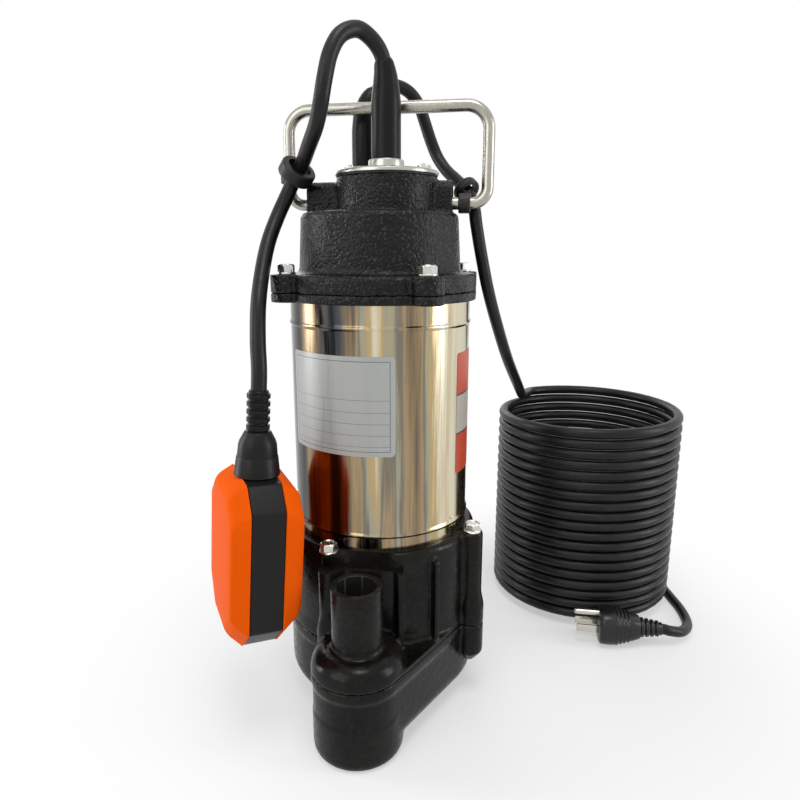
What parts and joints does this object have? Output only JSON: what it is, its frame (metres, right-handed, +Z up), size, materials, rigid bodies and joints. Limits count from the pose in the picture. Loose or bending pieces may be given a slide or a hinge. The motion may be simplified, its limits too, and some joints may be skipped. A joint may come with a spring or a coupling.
{
  "type": "submersible sump pump",
  "caption": "Upright submersible pump with a steel motor shell, black cast cap and scroll base, upward discharge pipe, bail handle, tethered orange float switch and coiled mains cord.",
  "frame": {"origin": "on the axis of the motor, at the level of the feet", "axes": "+Z up along the motor; the discharge pipe is on the -Y side; the handle's bar lies along X"},
  "size_m": [0.3664, 0.3576, 0.4547],
  "materials": {
    "cast_iron": "black hammered paint on cast iron",
    "strainer": "plain sheet steel",
    "stainless_fasteners": "stainless steel",
    "black_rubber": "matt black rubber",
    "seal_plate_iron": "machined iron",
    "ceramic": "white alumina",
    "carbon": "carbon ring",
    "bearing_steel": "ground bearing steel",
    "polished_stainless": "polished stainless sheet",
    "lamination_steel": "stacked laminations",
    "copper": "varnished copper wire",
    "bracket_aluminium": "die-cast aluminium",
    "plate_stainless": "brushed stainless plate",
    "capacitor_case": "drawn can",
    "terminal_plastic": "moulded plastic",
    "cable_black": "satin black cable jacket",
    "plug_vinyl": "moulded black vinyl",
    "plug_metal": "nickelled brass",
    "handle_stainless": "stainless wire",
    "clip_plastic": "black plastic",
    "shaft_steel": "ground steel",
    "impeller_iron": "cast iron",
    "float_black": "black moulded plastic",
    "float_orange": "orange moulded plastic"
  },
  "bodies": {
    "pump": {"base_casing": "cast_iron", "casing_feet": "cast_iron", "inlet_strainer": "strainer", "strainer_screws": "stainless_fasteners", "pump_body": "cast_iron", "casing_seal": "black_rubber", "body_bolts": "stainless_fasteners", "seal_plate": "seal_plate_iron", "seal_stationary_ring": "ceramic", "oil_seal": "black_rubber", "lower_bearing_outer": "bearing_steel", "motor_shell": "polished_stainless", "shell_top_ring": "cast_iron", "shell_seals": "black_rubber", "stator_core": "lamination_steel", "stator_windings": "copper", "bearing_bracket": "bracket_aluminium", "upper_bearing_outer": "bearing_steel", "top_cap": "cast_iron", "cap_bolts": "stainless_fasteners", "gland_plate": "plate_stainless", "gland_gasket": "black_rubber", "gland_screws": "stainless_fasteners", "float_cable_boot": "black_rubber", "power_cable_boot": "black_rubber", "capacitor": "capacitor_case", "terminal_block": "terminal_plastic", "float_cable_loop": "cable_black", "power_cord_rise": "cable_black", "power_cord_coil": "cable_black", "power_cord_tail": "cable_black", "plug_body": "plug_vinyl", "plug_relief": "plug_vinyl", "plug_blades": "plug_metal", "plug_ground_pin": "plug_metal"},
    "bail": {"handle": "handle_stainless", "float_cable_clip": "clip_plastic", "power_cable_clip": "clip_plastic"},
    "rotor": {"shaft": "shaft_steel", "rotor_core": "lamination_steel", "impeller": "impeller_iron", "impeller_nut": "stainless_fasteners", "impeller_key": "stainless_fasteners", "seal_rotating_ring": "carbon", "seal_spring": "bearing_steel", "lower_bearing_inner": "bearing_steel", "upper_bearing_inner": "bearing_steel"},
    "lower_balls": {"lower_bearing_balls": "bearing_steel"},
    "upper_balls": {"upper_bearing_balls": "bearing_steel"},
    "float": {"float_cable_drop": "cable_black", "float_boot": "float_black", "float_band": "float_black", "float_shell_left": "float_orange", "float_shell_right": "float_orange", "float_switch": "float_black"},
    "ball": {"float_ball": "bearing_steel"},
    "lever": {"switch_lever": "bearing_steel"}
  },
  "joints": [
    {"name": "rotor_spin", "type": "hinge", "parent": "pump", "child": "rotor", "pos_m": [0, 0, 0.104], "axis": [0, 0, 1], "continuous": true},
    {"name": "lower_balls_spin", "type": "hinge", "parent": "pump", "child": "lower_balls", "pos_m": [0, 0, 0.104], "axis": [0, 0, 1], "continuous": true},
    {"name": "upper_balls_spin", "type": "hinge", "parent": "pump", "child": "upper_balls", "pos_m": [0, 0, 0.275], "axis": [0, 0, 1], "continuous": true},
    {"name": "handle_swing", "type": "hinge", "parent": "pump", "child": "bail", "pos_m": [0, 0, 0.351], "axis": [1, 0, 0], "range_deg": [-4, 4]},
    {"name": "float_swing", "type": "hinge", "parent": "pump", "child": "float", "pos_m": [-0.053, -0.015, 0.371], "axis": [0, 1, 0], "range_deg": [0, 105], "deforming": ["float_cable_drop"]},
    {"name": "ball_roll", "type": "slide", "parent": "float", "child": "ball", "axis": [0.0732, 0, 0.9973], "range_m": [0, 0.0215]},
    {"name": "lever_press", "type": "hinge", "parent": "float", "child": "lever", "pos_m": [-0.06466, -0.08663, 0.13186], "axis": [0.8268, 0.5592, -0.0607], "range_deg": [0, 10]}
  ],
  "couplings": [
    {"joint": "lower_balls_spin", "follows": "rotor_spin", "ratio": 0.3825},
    {"joint": "upper_balls_spin", "follows": "rotor_spin", "ratio": 0.382},
    {"joint": "lever_press", "follows": "ball_roll", "rad_per_m": 8.1177}
  ]
}
